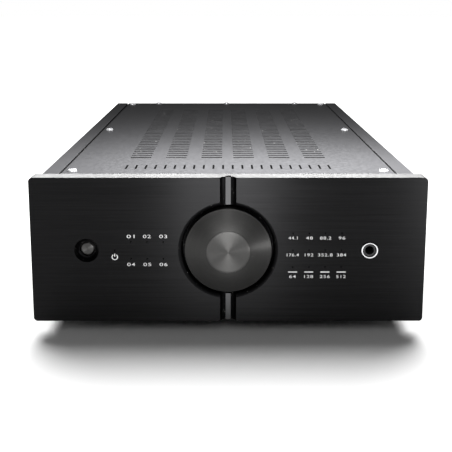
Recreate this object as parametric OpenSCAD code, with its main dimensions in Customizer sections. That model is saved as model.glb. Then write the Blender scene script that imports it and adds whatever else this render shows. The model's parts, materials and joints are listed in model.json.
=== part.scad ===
// Desktop digital-to-analogue converter: a thick machined front plate with one
// large volume knob in a turned recess, on a low sheet and extrusion case.
// Millimetres, +Z up, the front faces -Y, the origin is under the middle.

/* [Front plate] */
// Width of the front plate
panel_w = 280; // [230:1:360]
// Height of the front plate
panel_h = 106; // [88:1:130]
// Thickness of the front plate
panel_t = 12; // [11:0.5:16]
// Corner radius of the front plate, seen from the front
panel_r = 3; // [1:0.5:8]
// Width of the vertical groove
groove_w = 11.2; // [8:0.2:16]
// Width of the strip laid in the groove
strip_w = 3.6; // [2:0.2:6]
// Distance of the strip's face behind the plate's face
strip_drop = 2.4; // [1:0.2:4]

/* [Volume knob] */
// Radius of the knob's rim
knob_r = 30.9; // [25:0.1:38]
// Radius of the flat disc in the knob's centre
knob_cap_r = 15.4; // [8:0.1:20]
// Height of the disc over the rim
knob_rise = 3.6; // [1:0.1:6]
// Height of the rim over the plate's face
knob_lip = 0.5; // [0:0.1:2]
// Gap between the knob and the recess's wall
recess_gap = 1.7; // [0.5:0.1:3]
// Width of the recess's flared mouth
recess_flare = 3; // [1:0.1:6]
// Depth of the recess
recess_d = 8; // [6:0.5:9]
// Radius of the encoder's shaft
shaft_r = 3; // [2.5:0.1:4]

/* [Controls on the front] */
// Radius of the power button
button_r = 5.25; // [4:0.05:7]
// Travel of the power button
button_travel = 1.5; // [0.5:0.1:2]
// Distance of the button's face behind the plate's face
button_drop = 4; // [0:0.5:5]
// Radius of the headphone socket's bore
jack_r = 3.25; // [3.2:0.05:3.5]
// Depth of the headphone socket's bore
jack_d = 32; // [28:1:40]
// Radius of an indicator's light pipe at the face
led_r = 0.5; // [0.3:0.05:1.5]

/* [Case] */
// Overhang of the front plate past the case on each side
overhang = 6; // [2:0.5:12]
// Depth of the case behind the front plate
case_d = 370; // [280:1:460]
// Thickness of the side extrusions' walls
side_t = 3; // [2:0.5:5]
// Width of the side extrusions' top flanges
flange_w = 12; // [10:0.5:20]
// Thickness of the cover
cover_t = 2; // [1.5:0.5:3]
// Gap between the cover and the side flanges
cover_gap = 1.3; // [0.5:0.1:2]
// Length of a vent slot
vent_len = 16.5; // [8:0.5:24]
// Width of a vent slot
vent_wid = 3; // [1.5:0.1:4]
// Distance from one vent slot to the next
vent_pitch = 7.5; // [5:0.1:12]

/* [Feet] */
// Height of the front plate above the ground
foot_h = 12; // [8:0.5:20]
// Radius of a foot
foot_r = 18; // [12:0.5:25]

/* [Rear sockets] */
// Radius of a phono socket's outer shell
phono_r = 4.15; // [4.1:0.05:4.3]
// Length of a phono socket's shell outside the panel
phono_len = 9; // [7:0.5:12]
// Length of the aerial's rod
aerial_len = 100; // [60:1:110]
// Travel of the fuse drawer
drawer_travel = 18; // [10:0.5:20]
// Travel of the three-pin socket's release tab
latch_travel = 1.8; // [1:0.1:2.5]

/* [Fits] */
// Gap between parts that move past each other
gap = 0.3; // [0.3:0.05:0.5]
// Radial clearance of a shaft that runs in a hole
run = 0.05; // [0.02:0.01:0.1]
// Gap between parts that are fixed beside each other
seat = 0.1; // [0.05:0.05:0.3]

/* [Hidden] */
$fn = 48;
knob_proud = knob_lip + knob_rise;
rear_proud = 19.2;                       // reach of the aerial behind the case
whole_d = knob_proud + panel_t + case_d + rear_proud;
y0 = knob_proud - whole_d / 2;           // face of the front plate
y1 = y0 + panel_t;                       // back of the front plate
y2 = y1 + case_d;                        // outer face of the rear panel
zc = foot_h + panel_h / 2;               // height of the knob's axis
zb = foot_h + 2;                         // underside of the side extrusions
zt = foot_h + panel_h - 1;               // top of the case
W = panel_w / 2 - overhang;              // half width of the case
in_x = W - side_t - 0.2;                 // half width between the sides
ledge_x = W - flange_w - 14;             // inner edge of the cover's ledges
z_ledge = zt - cover_t;                  // height the cover rests at
cover_x = W - flange_w - cover_gap;      // half width of the cover
sole_w = 18;                             // width of the sides' bottom flanges
sole_t = 3;                              // thickness of the sides' bottom flanges
base_z = zb + sole_t;                    // underside of the base plate
base_t = 2;
bulk_t = 2;
rear_t = 3;
inside_y = -panel_t - bulk_t;            // back of the bulkhead, in the plate's own frame
strip_seat = 6;                          // depth of the strip's seat behind the face
recess_r = knob_r + recess_gap;
mouth_r = recess_r + recess_flare;
skirt_r = knob_r - 3.4;                  // inside of the knob's skirt
hub_r = shaft_r + 6;
hub_bore = shaft_r + 0.02;
web_z = -1.5;                            // underside of the knob's web
button_share = 0.359;                    // of the plate's width, from its middle to the button
button_x = panel_w * button_share;
well_r = button_r + 3.45;                // mouth of the power button's cone
lip_r = button_r + 1.75;                 // flange that keeps the button in
stem_r = 2;                              // stem behind the button
jack_ring_r = 5.95;
ring_wall = 1.6;
jack_hole_r = jack_ring_r + 0.5;
led_span = button_x - mouth_r - jack_hole_r;
led_first = 0.178;                       // of the span, from the recess to the first lights
led_step = 0.197;                        // of the span, from one column to the next
function led_x(i) = mouth_r + led_span * (led_first + led_step * i);
led_z = panel_h * 0.118;                 // from the middle row of lights to the others
led_low = led_z / 2;
pipe_r = led_r + 0.9;                    // light pipe behind the face
nut_r = 4.6;                             // hole for the encoder's neck
fascia_r = 2;                            // screws that hold the front plate
board_y = y1 + bulk_t + 3;
scr_r = 1.5;                             // ordinary screws
scr_hole = scr_r + 0.2;                  // hole that a screw passes
tap_r = scr_r + 0.05;                    // hole that a screw bites in
rib_in = 4;                              // from the sides' inner face to the ribs' screws
kx = W / 134;                            // rear layout follows the case's width
inlet_x = -105 * kx;
inlet_z = zb + 46;
drawer_len = drawer_travel + 6;
drawer_x = 11.3;                         // half width of the fuse drawer
drawer_h = 7.6;
slot_z = -3.1;                           // lower edge of the fuse drawer's slot
axle_r = 1.5;                            // rocker's axle
rocker_z = 15.5;                         // rocker's axis above the inlet's middle
earth_pins = [[-7, -18], [7, -18], [0, -14]];
xlr_z = zb + 36;
xlr_x = [-62 * kx, -30 * kx];
xlr_r = 11.8;                            // three-pin socket behind its plate
plate_screws = [9.5, 12];                // socket's screws, from its middle
xlr_pins = [[-3.8, 2.3], [3.8, 2.3], [0, -4.6]];
pin_r = 1.2;
latch_w = 8.4;                           // release tab's width
latch_len = 9;                           // release tab behind the rear panel's face
phono_z = zt - 27;
coax_z = zb + 34;
phono_wall = 0.7;
phonos = [[-62 * kx, phono_z], [-30 * kx, phono_z], [60 * kx, coax_z], [82 * kx, coax_z]];
usb_x = 8 * kx;
opt_x = 34 * kx;
usb_z = zb + 34;
flap_z = 3.4;                            // flap's hinge above the optical socket's middle
flap_pin_r = 0.35;
aes_x = 107 * kx;
aes_z = zb + 38;
aerial_x = 95 * kx;
aerial_z = zt - 19;
hinge_out = 15;                          // aerial's hinge behind the rear panel
hinge_pin_r = 1.2;
ear_r = 4.2;                             // ears of the aerial's collar
jack_stud_r = 3.15;                      // threaded stud of the aerial's socket
rod_r = 4.1;                             // aerial's rod at the hinge
tip_r = 3.2;
rib_zs = [zb + 16, (zb + zt) / 2, zt - 17];
coil_r = 42;
coil_h = 36;
coil_bolt_r = 3;
coil_x = -66 * kx;
coil_y = y1 + 26 + coil_r + 10;
pcb_t = 1.6;
pcb_z = base_z + base_t + 8;
pcb_x0 = coil_x + coil_r + 8;
pcb_x1 = W - side_t - 14;
pcb_y0 = y1 + 42;
pcb_y1 = y2 - 95;
inp_z = usb_z - 5.8 - pcb_t - seat;
inp_x0 = usb_x - 14;
inp_x1 = opt_x + 16;
inp_y0 = y2 - 84;
inp_y1 = y2 - rear_t - 2;
foot_bolt_r = 2;
pad_r = foot_r - 5;                      // rubber pad under a foot
foot_x = W - sole_w - foot_r - 1;
foot_xs = [-foot_x, foot_x];
foot_ys = [y1 + 45, y2 - 45];
vent_first = 57;                         // from the front plate to the first vent row
vent_last = 54;                          // from the last vent row to the rear, at least
vent_rows = floor((case_d - vent_first - vent_last) / vent_pitch);
vent_in = W * 0.0948;                    // from the middle to the first vent column
vent_step = W * 0.2108;                  // from one vent column to the next
slot_row = y1 + case_d * 0.2;            // first slot of the base plate
cover_side_ys = [12, case_d * 0.492, case_d - 13];
cover_side = [for (s = [-1, 1], u = cover_side_ys) [s * (W - flange_w - 8), y1 + u]];
cover_rear = [for (s = [-1, 0, 1]) [s * W * 0.62, y2 - 5]];
base_shares = [0.06, 0.36, 0.64, 0.94];  // base screws along the case
base_spots = [for (s = [-1, 1], f = base_shares) [s * (W - 13), y1 + case_d * f]];
fascia_spots = [for (s = [-1, 1], t = [-1, 1]) [s * (W - 16), zc + t * (panel_h / 2 - 22)]];
pcb_ys = [pcb_y0 + 5, (pcb_y0 + pcb_y1) / 2, pcb_y1 - 5];
pcb_spots = [for (x = [pcb_x0 + 5, pcb_x1 - 5], y = pcb_ys) [x, y]];
inp_spots = [for (x = [inp_x0 + 4, inp_x1 - 4], y = [inp_y0 + 5, inp_y1 - 22]) [x, y]];

// ---- helpers ----

// Local z points forward, out of the front plate's face.
module face(x, z) translate([x, y0, z]) rotate([90, 0, 0]) children();

// Local z points backward, out of the rear panel; local y is up.
module rear(x, z) translate([x, y2, z]) rotate([90, 0, 180]) children();

module block(x0, x1, ya, yb, z0, z1)
    translate([x0, ya, z0]) cube([x1 - x0, yb - ya, z1 - z0]);

module rod(r, z0, z1) translate([0, 0, z0]) cylinder(r = r, h = z1 - z0);

// Hexagon between two heights, r to its corners.
module hexagon(r, z0, z1) translate([0, 0, z0]) cylinder(r = r, h = z1 - z0, $fn = 6);

module rounded(w, h, r) union() {
    square([w - 2 * r, h], center = true);
    square([w, h - 2 * r], center = true);
    for (x = [-1, 1], y = [-1, 1]) translate([x * (w / 2 - r), y * (h / 2 - r)]) circle(r = r);
}

module pad(w, h, r, z0, z1)
    translate([0, 0, z0]) linear_extrude(z1 - z0) rounded(w, h, r);

// Button-head screw: local z up, the underside of the head at z 0.
function dome(head_r, head_h, a) = [head_r * (0.45 * cos(a) + 0.55 * sqrt(1 - pow(sin(a), 4))),
                                    head_h * sin(a)];

module button_screw(head_r, head_h, r, len) difference() {
    union() {
        rotate_extrude() polygon(concat([[0, 0], [head_r, 0]],
            [for (a = [15 : 15 : 75]) dome(head_r, head_h, a)], [[0, head_h]]));
        translate([0, 0, -len]) cylinder(r = r, h = len + 0.01);
    }
    translate([0, 0, head_h * 0.4]) cylinder(r = head_r * 0.33, h = head_h, $fn = 6);
}

// ---- front plate ----

module led_spots() {
    for (i = [0 : 3], s = [-1, 0, 1]) face(led_x(i), zc + s * led_z) children();
    for (i = [0 : 2], s = [-1, 1]) face(-led_x(i), zc + s * led_low) children();
    face(-led_x(3), zc) children();
}

module front_panel() color([0.03, 0.03, 0.032]) difference() {
    face(0, zc) pad(panel_w, panel_h, panel_r, -panel_t, 0);
    // groove with coved sides, and the seat of its strip
    for (s = [-1, 1]) face(s * strip_w / 2, zc) rotate([90, 0, 0])
        cylinder(r = (groove_w - strip_w) / 2, h = panel_h + 2, center = true);
    face(0, zc) translate([-strip_w / 2 - seat, -panel_h / 2 - 1, -strip_seat])
        cube([strip_w + 2 * seat, panel_h + 2, strip_seat + 1]);
    // knob recess with a flared mouth
    face(0, zc) {
        rod(recess_r, -recess_d, 1);
        translate([0, 0, -recess_flare]) rotate_extrude() polygon(concat([[0, 0]],
            [for (a = [0 : 15 : 90]) [mouth_r - recess_flare * cos(a), recess_flare * sin(a)]],
            [[mouth_r, recess_flare + 1], [0, recess_flare + 1]]));
        rod(8, -panel_t - 1, 0);
    }
    // power button
    face(-button_x, zc) {
        translate([0, 0, -button_drop]) cylinder(r1 = button_r + 0.8, r2 = well_r, h = button_drop);
        rod(button_r + gap, -panel_t - 1, 1);
        rod(lip_r + 0.45, -panel_t - 1, -button_drop - 4);
        rod(well_r, -0.01, 1);
    }
    face(button_x, zc) rod(jack_hole_r, -panel_t - 1, 1);
    led_spots() rod(led_r + seat, -panel_t, 1);
    led_spots() rod(pipe_r + 0.2, -panel_t - 1, -3);
    for (p = fascia_spots) face(p[0], p[1]) rod(fascia_r + 0.05, -panel_t - 1, -4);
}

module strip(z0, z1) color([0.75, 0.76, 0.78]) union() {
    face(0, 0) translate([-strip_w / 2, z0, -strip_seat + seat])
        cube([strip_w, z1 - z0, strip_seat - seat - strip_drop - 0.3]);
    face(0, 0) translate([-strip_w / 2 + 0.3, z0, -strip_drop - 0.31])
        cube([strip_w - 0.6, z1 - z0, 0.31]);
}

module groove_strip_upper() strip(zc + recess_r + 0.4, zc + panel_h / 2 - 0.05);
module groove_strip_lower() strip(zc - panel_h / 2 + 0.05, zc - recess_r - 0.4);

module end_plate(ya, yb, lip_a, lip_b) union() {
    block(-in_x, in_x, ya, yb, base_z + base_t + seat, z_ledge - 3.2);
    block(-ledge_x + 0.3, ledge_x - 0.3, ya, yb, z_ledge - 3.3, z_ledge - seat);
    block(-ledge_x + 0.3, ledge_x - 0.3, lip_a, lip_b, z_ledge - 3.1, z_ledge - seat);
}

module front_bulkhead() color([0.55, 0.56, 0.58]) difference() {
    end_plate(y1 + seat, y1 + bulk_t, y1 + seat, y1 + 12);
    face(0, zc) rod(nut_r, inside_y - 1, 0);
    face(-button_x, zc) rod(stem_r + 0.4, inside_y - 1, 0);
    face(button_x, zc) rod(jack_hole_r, inside_y - 1, 0);
    face(-led_x(3), zc) rod(pipe_r + 0.6, inside_y - 1, 0);
    block(led_x(0) - 3, led_x(3) + 3, y1 - 1, y1 + 3, zc - led_z - 3, zc + led_z + 3);
    block(-led_x(2) - 3, -led_x(0) + 3, y1 - 1, y1 + 3, zc - led_low - 3, zc + led_low + 3);
    for (p = fascia_spots) face(p[0], p[1]) rod(fascia_r + 0.2, inside_y - 1, 0);
    for (s = [-1, 1], z = rib_zs)
        translate([s * (in_x - rib_in), y1, z]) rotate([-90, 0, 0]) rod(scr_hole, -1, 5);
}

module fascia_screws() color([0.7, 0.7, 0.72]) for (p = fascia_spots)
    translate([p[0], y1 + bulk_t + 0.05, p[1]]) rotate([-90, 0, 0]) button_screw(3.8, 2.4, fascia_r, 8);

module light_pipes() color([0.9, 0.92, 0.95, 0.6]) led_spots() union() {
    rod(led_r, -3.4, -0.05);
    rod(pipe_r, inside_y - 2.6, -3.3);
}

module indicator_board() color([0.05, 0.25, 0.12]) difference() {
    block(-led_x(3) - 5, led_x(3) + 5, board_y, board_y + pcb_t, zc - 20, zc + 20);
    face(0, zc) rod(12, inside_y - 10, 0);
}

// ---- volume knob ----

// The cone falls from the disc to the rim with the distance to the power 1.35.
function cone(t) = [knob_cap_r + (knob_r - 0.3 - knob_cap_r) * t,
                    knob_proud - 0.2 - (knob_rise - 0.2) * pow(t, 1.35)];

module volume_knob() color([0.12, 0.12, 0.13]) face(0, zc) rotate_extrude() polygon(concat(
    [[0, knob_proud], [knob_cap_r - 0.2, knob_proud], [knob_cap_r, knob_proud - 0.2]],
    [for (i = [1 : 8]) cone(i / 8)],
    [[knob_r, knob_lip - 0.3], [knob_r, -recess_d + 1], [skirt_r, -recess_d + 1],
     [skirt_r, web_z], [hub_r, web_z], [hub_r, -recess_d + 0.8],
     [hub_bore, -recess_d + 0.8], [hub_bore, 1], [0, 1]]));

module encoder_shaft() color([0.75, 0.75, 0.77]) face(0, zc) rod(shaft_r, inside_y - 4.5, 0.9);

module encoder_housing() color([0.2, 0.2, 0.22]) face(0, zc) difference() {
    union() {
        rod(nut_r - 0.1, inside_y - 0.1, -panel_t + 3);
        translate([-7, -7, inside_y - 8]) cube([14, 14, 7.95]);
    }
    rod(shaft_r + run, inside_y - 5, -panel_t + 4);
}

module encoder_nut() color([0.8, 0.8, 0.82]) face(0, zc) translate([0, 0, -panel_t + 0.1]) difference() {
    hexagon(6.35, 0, 2.1);
    rod(nut_r - 0.05, -1, 4);
}

// ---- power button ----

module power_button() color([0.1, 0.1, 0.11]) face(-button_x, zc) union() {
    translate([0, 0, -button_drop - 0.6]) cylinder(r1 = button_r, r2 = button_r - 0.6, h = 0.6);
    rod(button_r, -button_drop - 4.15, -button_drop - 0.6);
    rod(lip_r, -button_drop - 5.3, -button_drop - 4.1);
    rod(stem_r, inside_y - 1.5, -button_drop - 5.2);
}

module switch_plunger() color([0.85, 0.85, 0.82]) face(-button_x, zc)
    rod(stem_r - 0.3, inside_y - 5, inside_y - 1.55);

module power_switch() color([0.08, 0.08, 0.08]) face(-button_x, zc) difference() {
    translate([-6, -6, inside_y - 9]) cube([12, 12, 8.9]);
    rod(stem_r + 0.4, inside_y - 5.5 - button_travel, -panel_t);
}

// ---- headphone socket ----

module headphone_jack() color([0.02, 0.02, 0.02]) face(button_x, zc) difference() {
    union() {
        rod(jack_ring_r - ring_wall - 0.05, inside_y - 0.2, -0.4);
        translate([-8, -7, -jack_d - 4]) cube([16, 14, jack_d + 4 + inside_y - 0.1]);
    }
    rod(jack_r, -jack_d, 1);
}

module headphone_ring() color([0.8, 0.8, 0.82]) face(button_x, zc) difference() {
    union() {
        rod(jack_ring_r, inside_y + 0.5, 0);
        rotate_extrude()
            polygon([[0, -0.01], [jack_ring_r, -0.01], [jack_ring_r - 0.4, 0.4], [0, 0.4]]);
    }
    rod(jack_ring_r - ring_wall, inside_y, 1);
}

// ---- case ----

module side(s) color([0.06, 0.06, 0.065]) mirror([s < 0 ? 1 : 0, 0, 0]) difference() {
    union() {
        block(W - side_t, W, y1 + seat, y2, zb, zt);
        block(W - flange_w, W - side_t + 0.1, y1 + seat, y2, zt - 3, zt);
        block(ledge_x, W - side_t + 0.1, y1 + seat, y2, z_ledge - 3, z_ledge);
        block(W - sole_w, W - side_t + 0.1, y1 + seat, y2, zb, base_z);
        for (z = rib_zs)
            block(W - side_t - 8, W - side_t + 0.1, y1 + bulk_t + seat, y2 - rear_t - seat, z - 4, z + 4);
    }
    for (p = cover_side) if (p[0] > 0) translate([p[0], p[1], 0]) rod(tap_r, z_ledge - 5, zt + 1);
    for (p = base_spots) if (p[0] > 0) translate([p[0], p[1], 0]) rod(scr_hole, zb - 1, zb + 4);
    for (z = rib_zs) {
        translate([in_x - rib_in, y1, z]) rotate([-90, 0, 0]) rod(tap_r, 0, 16);
        translate([in_x - rib_in, y2, z]) rotate([90, 0, 0]) rod(tap_r, 0, 16);
    }
}

module side_left() side(-1);
module side_right() side(1);

module base_plate() color([0.3, 0.3, 0.31]) difference() {
    block(-in_x, in_x, y1 + 0.3, y2 - 0.2, base_z, base_z + base_t);
    for (p = base_spots) translate([p[0], p[1], 0]) rod(tap_r, base_z - 1, base_z + 4);
    for (x = foot_xs, y = foot_ys) translate([x, y, 0]) rod(foot_bolt_r + 0.1, base_z - 1, base_z + 4);
    for (p = concat(pcb_spots, inp_spots))
        translate([p[0], p[1], 0]) rod(scr_hole, base_z - 1, base_z + 4);
    translate([coil_x, coil_y, 0]) rod(coil_bolt_r + 0.2, base_z - 1, base_z + 4);
    for (i = [0 : 13]) translate([0, slot_row + i * 7.5, 0])
        block(-22.5, 22.5, 0, 3, base_z - 1, base_z + 4);
}

module top_cover() color([0.1, 0.1, 0.105]) difference() {
    block(-cover_x, cover_x, y1 + 0.3, y2 - 0.3, z_ledge, zt);
    for (p = concat(cover_side, cover_rear))
        translate([p[0], p[1], 0]) rod(scr_hole, z_ledge - 1, zt + 1);
    for (s = [-1, 1], c = [0 : 2], i = [0 : vent_rows])
        translate([s * (vent_in + vent_step * c) - vent_len / 2,
                   y1 + vent_first + i * vent_pitch, z_ledge - 1])
            cube([vent_len, vent_wid, cover_t + 2]);
}

module rear_panel() color([0.07, 0.07, 0.075]) difference() {
    end_plate(y2 - rear_t, y2 - 0.02, y2 - 12, y2 - 0.02);
    for (p = cover_rear) translate([p[0], p[1], 0]) rod(tap_r, z_ledge - 5, zt + 1);
    for (s = [-1, 1], z = rib_zs)
        translate([s * (in_x - rib_in), y2, z]) rotate([90, 0, 0]) rod(scr_hole, -1, 5);
    rear(inlet_x, inlet_z) pad(27, 59, 1, -5, 1);
    for (x = xlr_x) rear(x, xlr_z) rod(xlr_r + 0.2, -5, 1);
    rear(aes_x, aes_z) rod(xlr_r + 0.2, -5, 1);
    rear(aes_x, aes_z) translate([-5, 8, -5]) cube([10, 7.2, 6]);
    for (p = phonos) rear(p[0], p[1]) rod(phono_r + 0.25, -5, 1);
    rear(usb_x, usb_z) translate([-6.4, -5.8, -5]) cube([12.8, 11.6, 6]);
    rear(opt_x, usb_z) translate([-7, -6.2, -5]) cube([14, 12.4, 6]);
    rear(aerial_x, aerial_z) rod(jack_stud_r + 0.25, -5, 1);
    socket_screw_places() rod(1.5, -5, 1);
}

// Two screws at opposite corners of each three-pin socket.
module socket_screw_places() {
    for (x = xlr_x, s = [-1, 1]) rear(x + s * plate_screws[0], xlr_z + s * plate_screws[1]) children();
    for (s = [-1, 1]) rear(aes_x + s * plate_screws[0], aes_z + s * plate_screws[1]) children();
}

module cover_screws() color([0.8, 0.8, 0.82]) for (p = concat(cover_side, cover_rear))
    translate([p[0], p[1], zt + 0.02]) button_screw(3.5, 1.8, scr_r, 7);

module base_screws() color([0.3, 0.3, 0.3]) for (p = base_spots)
    translate([p[0], p[1], zb - 0.02]) rotate([180, 0, 0]) button_screw(2.9, 1.6, scr_r, 7);

module rear_screws() color([0.3, 0.3, 0.3]) for (s = [-1, 1], z = rib_zs) {
    translate([s * (in_x - rib_in), y2, z]) rotate([-90, 0, 0]) button_screw(2.9, 1.6, scr_r, 14);
    translate([s * (in_x - rib_in), y1 + seat + 0.02, z]) rotate([90, 0, 0]) rod(scr_r, -13, 0);
}

// ---- feet ----

module foot_places() for (x = foot_xs, y = foot_ys) translate([x, y, 0]) children();

module feet() color([0.08, 0.08, 0.085]) foot_places() difference() {
    rotate_extrude() polygon([[0, 2], [foot_r - 1, 2], [foot_r, 3], [foot_r, base_z - 1],
                              [foot_r - 1, base_z - 0.02], [0, base_z - 0.02]]);
    rod(pad_r + 0.2, 1, 6);
    rod(4.2, 5, 9);
    rod(foot_bolt_r + 0.1, 5, base_z + 1);
}

module foot_pads() color([0.03, 0.03, 0.03]) foot_places() rotate_extrude()
    polygon([[0, 0], [pad_r - 0.6, 0], [pad_r, 0.6], [pad_r, 5.9], [0, 5.9]]);

module foot_screws() color([0.6, 0.6, 0.62]) foot_places() union() {
    rod(3.8, 6.2, 8.9);
    rod(foot_bolt_r, 8.8, base_z + base_t + 4);
}

// ---- mains inlet with fuse drawer and rocker ----

module mains_inlet() color([0.03, 0.03, 0.03]) rear(inlet_x, inlet_z) difference() {
    union() {
        pad(30, 62, 2, 0.02, 2);
        pad(26.4, 58.4, 1, -32, 0.1);
    }
    // plug cavity with two cut corners
    translate([0, -16, -15]) linear_extrude(20)
        polygon([[-12, -8], [12, -8], [12, 4], [8, 8], [-8, 8], [-12, 4]]);
    for (p = earth_pins) translate([p[0] - 1.1, p[1] - 2.1, -33]) cube([2.2, 4.2, 25]);
    // fuse drawer's slot
    translate([-drawer_x - gap, slot_z, -drawer_len - 2])
        cube([2 * (drawer_x + gap), drawer_h + 2 * gap, drawer_len + 6]);
    // rocker's well and the two holes for its axle
    translate([-10.3, rocker_z - 6.3, -13]) cube([20.6, 12.6, 20]);
    for (z = [rocker_z - 8.2, rocker_z + 6.2])
        translate([0, z, -4]) rotate([-90, 0, 0]) cylinder(r = axle_r + run, h = 2);
}

module mains_pins() color([0.8, 0.8, 0.8]) rear(inlet_x, inlet_z)
    for (p = earth_pins) union() {
        translate([p[0] - 1, p[1] - 2, -27.9]) cube([2, 4, 25.9]);
        translate([p[0] - 0.4, p[1] - 1.8, -38]) cube([0.8, 3.6, 10.2]);
    }

module fuse_drawer() color([0.04, 0.04, 0.04]) rear(inlet_x, inlet_z) difference() {
    union() {
        translate([-drawer_x, slot_z + gap, 0.3]) cube([2 * drawer_x, drawer_h, 2.2]);
        translate([-drawer_x, slot_z + gap, -drawer_len]) cube([2 * drawer_x, drawer_h, drawer_len + 0.4]);
    }
    translate([-drawer_x + 0.9, -1, -drawer_len + 1]) cube([2 * drawer_x - 1.8, 6, drawer_len - 4]);
    translate([-5, 3.4, 1.5]) cube([10, 2, 2]);
}

module mains_fuse() color([0.85, 0.88, 0.9, 0.5]) rear(inlet_x, inlet_z)
    translate([-10.2, 1.6, -drawer_len / 2]) rotate([0, 90, 0]) cylinder(r = 2.5, h = 20.4);

module rocker_switch() color([0.02, 0.02, 0.02])
    rear(inlet_x, inlet_z) translate([0, rocker_z, -4]) rotate([0, 8, 0]) rotate([90, 0, 0]) union() {
        translate([0, 0, -6]) linear_extrude(12)
            polygon([[-9, 3], [-9, 7.2], [0, 5.4], [9, 7.2], [9, 3], [2.4, -2.4], [-2.4, -2.4]]);
        rod(axle_r, -7.9, 7.9);
    }

// ---- three-pin sockets ----

// Socket body on its plate, with the two screw holes, less the bore.
module socket_body(bore_r, bore_d) difference() {
    union() {
        pad(26, 31, 3, 0.02, 2);
        rod(xlr_r, -20, 0.1);
    }
    rod(bore_r, -bore_d, 3);
    for (s = [-1, 1]) translate([-s * plate_screws[0], s * plate_screws[1], 0]) rod(1.5, -1, 3);
}

module xlr_out_shells() color([0.35, 0.35, 0.36]) for (x = xlr_x) rear(x, xlr_z) difference() {
    socket_body(9.4, 15);
    for (p = xlr_pins) translate([p[0], p[1], 0]) rod(pin_r + 0.05, -21, -10);
}

module xlr_out_pins() color([0.85, 0.7, 0.35])
    for (x = xlr_x, p = xlr_pins) rear(x, xlr_z) translate([p[0], p[1], 0]) union() {
        rod(pin_r, -24, -3.5);
        translate([0, 0, -3.51]) cylinder(r1 = pin_r, r2 = pin_r / 2, h = 0.8);
    }

module aes_shell() color([0.35, 0.35, 0.36]) rear(aes_x, aes_z) difference() {
    socket_body(9.6, 14);
    translate([-latch_w / 2 - gap, 10.4, -latch_len - latch_travel - 1.2])
        cube([latch_w + 2 * gap, 4.2, 15]);
}

module aes_insert() color([0.02, 0.02, 0.02]) rear(aes_x, aes_z) difference() {
    rod(7.9, -13.95, 1.5);
    for (p = xlr_pins) translate([-p[0], p[1], 0]) rod(pin_r + 0.1, -11, 3);
}

module aes_latch() color([0.6, 0.6, 0.62]) rear(aes_x, aes_z)
    translate([-latch_w / 2, 10.7, -latch_len]) cube([latch_w, 3.6, latch_len + 3.6]);

module connector_screws() color([0.25, 0.25, 0.26])
    socket_screw_places() translate([0, 0, 2.02]) button_screw(2.5, 1.4, 1.4, 9);

// ---- phono sockets ----

module phono_shells() color([0.85, 0.7, 0.3]) for (p = phonos) rear(p[0], p[1]) difference() {
    union() {
        rod(phono_r, -9, phono_len);
        rod(phono_r + 2, 0.02, 2.2);
        hexagon(phono_r + 2.4, -rear_t - 2.6, -rear_t - 0.1);
    }
    rod(phono_r - phono_wall, -10, phono_len + 1);
}

module phono_inserts() color([0.9, 0.9, 0.9]) for (p = phonos) rear(p[0], p[1]) difference() {
    rod(phono_r - phono_wall - 0.1, -12, phono_len - 1.2);
    rod(1.6, -6, phono_len);
}

// ---- data sockets ----

module usb_shell() color([0.75, 0.75, 0.76]) rear(usb_x, usb_z) difference() {
    translate([-6, -5.4, -16]) cube([12, 10.8, 16.6]);
    translate([-5.5, -4.9, -15.5]) cube([11, 9.8, 18]);
}

module usb_tongue() color([0.92, 0.92, 0.9]) rear(usb_x, usb_z) union() {
    translate([-5.4, -4.8, -15.4]) cube([10.8, 9.6, 4]);
    translate([-2.8, -1.6, -11.5]) cube([5.6, 3.2, 10]);
}

module optical_socket() color([0.03, 0.03, 0.03]) rear(opt_x, usb_z) difference() {
    translate([-6.8, -5.8, -14]) cube([13.6, 11.6, 15]);
    translate([-4.5, -4.1, -12]) cube([9, 8.2, 20]);
    translate([-5.3, flap_z, -0.8]) rotate([0, 90, 0]) cylinder(r = flap_pin_r + run, h = 10.6);
}

module optical_flap() color([0.1, 0.1, 0.1]) rear(opt_x, usb_z) union() {
    translate([-4.2, -3.8, -1.25]) cube([8.4, 7.5, 0.9]);
    translate([-5.2, flap_z, -0.8]) rotate([0, 90, 0]) cylinder(r = flap_pin_r, h = 10.4);
}

// ---- aerial, folded flat behind the case ----

module aerial_jack() color([0.85, 0.7, 0.3]) rear(aerial_x, aerial_z) difference() {
    union() {
        rod(jack_stud_r, -12, 8);
        hexagon(4.6, 0.02, 2.02);
        hexagon(4.6, -rear_t - 2.1, -rear_t - 0.1);
    }
    rod(2.1, 2, 9);
}

module aerial_collar() color([0.02, 0.02, 0.02]) rear(aerial_x, aerial_z) difference() {
    union() {
        rod(5, 2.4, 10.4);
        for (s = [-1, 1]) translate([0, s * 3.3 - 1.1, 0]) union() {
            translate([-ear_r, 0, 10.3]) cube([2 * ear_r, 2.2, hinge_out - 10.3]);
            translate([0, 0, hinge_out]) rotate([-90, 0, 0]) cylinder(r = ear_r, h = 2.2);
        }
    }
    rod(jack_stud_r + run, 2, 8.4);
    translate([0, -5, hinge_out]) rotate([-90, 0, 0]) cylinder(r = hinge_pin_r + 0.02, h = 10);
}

module aerial_pin() color([0.7, 0.7, 0.72]) rear(aerial_x, aerial_z)
    translate([0, -4.4, hinge_out]) rotate([-90, 0, 0]) cylinder(r = hinge_pin_r, h = 8.8);

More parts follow.
